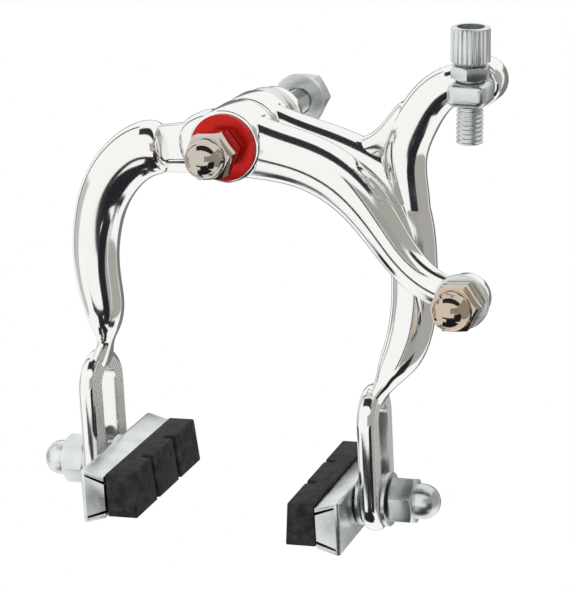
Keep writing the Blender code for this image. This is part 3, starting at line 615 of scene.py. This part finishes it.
warm_nickel = bare_metal("warm_nickel", (0.62, 0.52, 0.42), 0.08, mottle=0.08, grain=0.01)
nut = place(domed_nut("anchor_nut_shape", turn=5),
            Matrix.Translation((anchor_x * MM, -3.6 * MM, anchor_z * MM)) @ toward_front)
finish(nut, "anchor_cap_nut", warm_nickel, "cable_anchor")
clamp = washer("clamp_washer_shape", radius=6.3, front=-3.3, back=-1.9, edge=0.25,
               x=anchor_x, z=anchor_z)
finish(clamp, "anchor_washer", zinc, "cable_anchor")
bpy.data.objects["anchor_bolt"].data.materials[0] = zinc


# ---- Cable adjuster --------------------------------------------------------
# A zinc-plated steel block that swivels in the rear arm's eye. A hollow fluted
# barrel screws through it, held by a thin lock nut; its top is a socket for the
# housing.

stop_at = Matrix.Translation(joint("adjuster_swivel")["pos_m"])
deselect()
bpy.ops.mesh.primitive_cube_add(size=1, location=(0, 0.2 * MM, 0),
                                scale=(9.0 * MM, 9.0 * MM, 5.6 * MM))
stop = bpy.context.object
stop.name = "stop_block_shape"
bpy.ops.object.transform_apply(location=True, rotation=True, scale=True)
round_edges(stop, 1.9, 8)
weld(stop, place(turned("spigot", [(2.4, 0), (2.4, 16.7)], 48), toward_back))
bore_out(stop, tapped_hole, -5, 5, 48)
place(stop, stop_at)
finish(stop, "adjuster_stop", zinc, "adjuster_stop")
for node in ("stop_retainer_washer", "stop_retainer_nut"):
    bpy.data.objects[node].data.materials[0] = zinc

lock = place(hex_nut("lock_nut_shape", flats=8.0, height=3.1, turn=37),
             stop_at @ Matrix.Translation((0, 0, 3.35 * MM)))
finish(lock, "barrel_lock_nut", zinc, "adjuster_lock_nut")

# each flute is one pressed-in line of vertices out of four
flutes = 26
spokes = 4 * flutes
barrel = turned("barrel_shape", [(3.7, 6.75), (4.4, 7.3), (4.4, 14.3), (4.25, 14.8), (4.0, 15.0)],
                spokes)
take(barrel)
clear_picks(barrel)
for vertex in barrel.data.vertices:
    spoke = round(math.degrees(math.atan2(vertex.co.y, vertex.co.x)) / (360 / spokes)) % 4
    vertex.select = spoke == 0 and 7 * MM < vertex.co.z < 14.5 * MM
bpy.ops.object.mode_set(mode="EDIT")
bpy.ops.mesh.select_mode(type="VERT")
bpy.ops.transform.resize(value=(0.92, 0.92, 1.0), center_override=(0, 0, 0))
bpy.ops.object.mode_set(mode="OBJECT")
weld(barrel, thread("barrel_thread", bottom=-11.4, top=8.0))
bore_out(barrel, 3.1, 8.8, 17, 64)  # the housing's socket
bore_out(barrel, 1.1, -14, 12, 32)  # the cable's hole
place(barrel, stop_at)
finish(barrel, "barrel_adjuster", zinc, "adjuster_barrel", 25)


# ---- Brake shoes -----------------------------------------------------------
# Each shoe is a zinc-plated pressed channel with a threaded stud, closed at both
# ends by folded flaps. A moulded rubber block with three lobes is crimped in it.

rubber = bpy.data.materials.new("moulded_rubber")
rubber.use_nodes = True
nodes = rubber.node_tree.nodes
links = rubber.node_tree.links
shader = nodes["Principled BSDF"]
shader.inputs["Roughness"].default_value = 0.62
shader.inputs["Specular IOR Level"].default_value = 0.35
where = nodes.new("ShaderNodeTexCoord")
dust = nodes.new("ShaderNodeTexNoise")
dust.inputs["Scale"].default_value = 420.0
dust.inputs["Detail"].default_value = 8.0
dust.inputs["Roughness"].default_value = 0.7
links.new(where.outputs["Object"], dust.inputs["Vector"])
soot = nodes.new("ShaderNodeValToRGB")
soot.color_ramp.elements[0].position = 0.42
soot.color_ramp.elements[0].color = (0.005, 0.005, 0.007, 1)
soot.color_ramp.elements[1].position = 0.80
soot.color_ramp.elements[1].color = (0.050, 0.050, 0.053, 1)
links.new(dust.outputs["Fac"], soot.inputs["Fac"])
links.new(soot.outputs["Color"], shader.inputs["Base Color"])
skin = nodes.new("ShaderNodeBump")
skin.inputs["Strength"].default_value = 0.35
skin.inputs["Distance"].default_value = 0.25 * MM
links.new(dust.outputs["Fac"], skin.inputs["Height"])
links.new(skin.outputs["Normal"], shader.inputs["Normal"])


def wedge_block(name, x0, x1, y0, y1, low0, high0, low1, high1):
    """A six-sided block in mm; low and high are its Z at the x0 and x1 faces."""
    deselect()
    bpy.ops.mesh.primitive_cube_add(size=1)
    obj = bpy.context.object
    obj.name = name
    for vertex in obj.data.vertices:
        far = vertex.co.x > 0
        low, high = (low1, high1) if far else (low0, high0)
        vertex.co = Vector((x1 if far else x0, y1 if vertex.co.y > 0 else y0,
                            high if vertex.co.z > 0 else low)) * MM
    return obj


def ring_washer(name, steps):
    """A turned washer along Z with a hole for the stud."""
    bottom = steps[0][1]
    return bore_out(turned(name, steps, 96), stud_hole, bottom - 1, bottom + 3, 48)


def brake_shoe(side, stud, turn, rise, back, inner, outer, dome_turn):
    """One side's shoe. +X of its frame faces the rim; rise is how far the shoe sits above
    the stud, back the back of the channel, inner and outer the two faces of the foot."""
    stud_at = Matrix.Translation(stud) @ turn
    along_stud = stud_at @ Matrix.Rotation(math.pi / 2, 4, "Y")
    shoe_at = stud_at @ Matrix.Translation((0, 0, rise * MM))
    mouth = back + 5.8
    y0, y1 = (-25.7, 15.7)

    holder = wedge_block("holder_shape_" + side, back, mouth, y0, y1, -6.6, 6.6, -4.9, 4.9)
    bevel_edges(holder, lambda v: v.x < (back + 1) * MM, 1.0, 4)
    cut(holder, wedge_block("hollow", back + 1.0, mouth + 1, y0 + 0.9, y1 - 0.9,
                            -5.4, 5.4, -3.6, 3.6))
    # a slit at each corner frees the end flaps from the sides
    for end, into in ((y0, 1), (y1, -1)):
        for way in (-1, 1):
            slit_ends = sorted((end - into, end + into * 2.2))
            at_back = sorted((way * 5.35, way * 4.85))
            at_mouth = sorted((way * 3.55, way * 2.75))
            cut(holder, wedge_block("slit", back + 1.2, mouth + 1, *slit_ends, *at_back, *at_mouth))
    place(round_edges(holder, 0.22, 3, 40), shoe_at)
    weld(holder, place(thread("stud", outer - 8.5, back + 0.5), along_stud))
    finish(holder, "pad_holder_" + side, zinc, side + "_shoe")

    # the rubber's top edge slopes back, and two grooves part its three lobes
    pad = wedge_block("rubber_shape_" + side, mouth + 0.3, mouth + 7.7, y0 + 0.3, y1 - 0.3,
                      -4.8, 5.6, -4.8, 5.6)
    for vertex in pad.data.vertices:
        if vertex.co.x > (mouth + 3) * MM and vertex.co.z > 0:
            vertex.co.x -= 1.0 * MM
    lobe = (y1 - y0) / 3
    for count in (1, 2):
        line = y0 + lobe * count
        cut(pad, wedge_block("groove", mouth + 4.2, mouth + 9, line - 0.7, line + 0.7,
                             -9, 9, -9, 9))
    weld(pad, wedge_block("core", back + 1.5, mouth + 1, y0 + 1.5, y1 - 1.5,
                          -4.6, 4.6, -3.2, 3.2))
    place(round_edges(pad, 0.45, 3, 40), shoe_at)
    finish(pad, "pad_rubber_" + side, rubber, side + "_shoe", 50)

    dish = place(ring_washer("dish_shape_" + side, [
        (6.0, inner), (6.3, inner + 0.3), (6.3, inner + 0.9), (5.9, inner + 1.2)]), along_stud)
    finish(dish, "pad_dish_washer_" + side, zinc, side + "_stud_fittings")
    flat = place(ring_washer("flat_shape_" + side, [
        (6.2, outer), (6.3, outer + 0.1), (6.3, outer + 0.8), (6.2, outer + 0.9)]), along_stud)
    finish(flat, "pad_washer_" + side, zinc, side + "_stud_fittings")
    nut = place(domed_nut("pad_nut_shape_" + side, dome_turn, 4.1),
                stud_at @ Matrix.Translation(((outer - 0.3) * MM, 0, 0))
                @ Matrix.Rotation(-math.pi / 2, 4, "Y"))
    finish(nut, "pad_cap_nut_" + side, zinc, side + "_stud_fittings")


def turn_by(lean, yaw, roll):
    """How a shoe is turned, in degrees: its slot's lean, its toe-in and its tilt on the stud."""
    return (Matrix.Rotation(math.radians(lean), 4, "Y") @ Matrix.Rotation(math.radians(yaw), 4, "Z")
            @ Matrix.Rotation(math.radians(roll), 4, "X"))


left_turn = turn_by(-3.0, 1.0, 1.0)
right_turn = turn_by(-2.5, 1.2, 2.5) @ Matrix.Rotation(math.pi, 4, "Z")
brake_shoe("left", left_stud, left_turn, rise=0.4, back=4.34, inner=2.84, outer=-3.74,
           dome_turn=22)
brake_shoe("right", right_stud, right_turn, rise=-1.9, back=4.10, inner=2.60, outer=-3.50,
           dome_turn=8)


# ---- Camera and light ------------------------------------------------------
# A long lens in front and a little above, to the right. A plain pale room, with
# dark and grey cards outside the frame for the polished metal to show.

camera_at = Vector((0.2616, -0.6631, 0.1754))
azimuth, elevation, roll = 20.53, 16.51, 0.32
deselect()
bpy.ops.object.camera_add()
camera = bpy.context.object
camera.matrix_world = (Matrix.Translation(camera_at)
                       @ Matrix.Rotation(math.radians(azimuth), 4, "Z")
                       @ Matrix.Rotation(math.radians(90 - elevation), 4, "X")
                       @ Matrix.Rotation(math.radians(-roll), 4, "Z"))
camera.data.lens = 204.65
camera.data.sensor_width = 36
camera.data.sensor_fit = "HORIZONTAL"
camera.data.clip_end = 20
bpy.context.scene.camera = camera

bpy.context.scene.view_settings.view_transform = "Standard"
world = bpy.data.worlds.new("room")
bpy.context.scene.world = world
world.use_nodes = True
tree = world.node_tree
room = tree.nodes["Background"]
room.inputs["Color"].default_value = (0.99, 0.985, 0.97, 1)
room.inputs["Strength"].default_value = 1.0
backdrop = tree.nodes.new("ShaderNodeBackground")
backdrop.inputs["Color"].default_value = (1, 1, 1, 1)
backdrop.inputs["Strength"].default_value = 1.0
ray = tree.nodes.new("ShaderNodeLightPath")
pick = tree.nodes.new("ShaderNodeMixShader")
tree.links.new(ray.outputs["Is Camera Ray"], pick.inputs["Fac"])
tree.links.new(room.outputs["Background"], pick.inputs[1])
tree.links.new(backdrop.outputs["Background"], pick.inputs[2])
tree.links.new(pick.outputs["Shader"], tree.nodes["World Output"].inputs["Surface"])

middle = Vector((0.010, 0.010, -0.030))
black = (0.02, 0.02, 0.025)
soft_black = (0.03, 0.03, 0.035)


def card(name, width, tall, turn, at, shade):
    """A plain card that only reflections show."""
    deselect()
    bpy.ops.mesh.primitive_plane_add(size=1)
    obj = bpy.context.object
    obj.name = name
    obj.scale = (width, tall, 1)
    obj.rotation_euler = turn
    obj.location = at
    paint = bpy.data.materials.new(name)
    paint.use_nodes = True
    nodes = paint.node_tree.nodes
    glow = nodes.new("ShaderNodeEmission")
    glow.inputs["Color"].default_value = (*shade, 1)
    paint.node_tree.links.new(glow.outputs["Emission"], nodes["Material Output"].inputs["Surface"])
    obj.data.materials.append(paint)
    obj.visible_camera = False
    obj.visible_diffuse = False
    obj.visible_shadow = False


def standing_card(name, azimuth, height, width, tall, shade, distance):
    """A card facing the object; azimuth is degrees to the right of straight in front."""
    a = math.radians(azimuth)
    h = math.radians(height)
    out = Vector((math.sin(a) * math.cos(h), -math.cos(a) * math.cos(h), math.sin(h)))
    card(name, width, tall, out.to_track_quat("Z", "Y").to_euler(), middle + out * distance, shade)


def level_card(name, x0, x1, y0, y1, height, shade):
    """A card lying level under or over the object, in metres from its middle."""
    card(name, x1 - x0, y1 - y0, (0, 0, 0),
         middle + Vector(((x0 + x1) / 2, (y0 + y1) / 2, height)), shade)


# azimuth and height in degrees, width and tall in metres, shade, distance in metres
standing_card("dark_wall_right", 57, -22, 0.34, 0.36, black, 0.5)
standing_card("grey_side_right", 100, 5, 1.5, 0.85, (0.40, 0.39, 0.36), 0.62)
standing_card("lens_gap", 22, 16, 0.055, 0.30, (0.03, 0.03, 0.03), 0.55)
level_card("dark_overhead", -0.36, 0.62, -0.28, 0.02, 0.5, soft_black)
level_card("dark_below", -0.26, 0.40, -0.45, -0.05, -0.5, black)
level_card("dark_below_front", -0.10, 0.50, -0.90, -0.44, -0.5, black)
standing_card("dark_low_front", 5, -26, 0.75, 0.10, soft_black, 0.62)
standing_card("grey_side_left", -92, -12, 0.36, 0.36, (0.55, 0.54, 0.52), 0.60)
standing_card("dark_strip_left", -112, 16, 0.07, 0.75, (0.06, 0.06, 0.06), 0.58)
standing_card("dark_behind", 188, -14, 0.8, 0.6, (0.20, 0.20, 0.20), 0.62)
standing_card("grey_front_right", 46, 16, 0.36, 0.30, (0.36, 0.35, 0.33), 0.56)
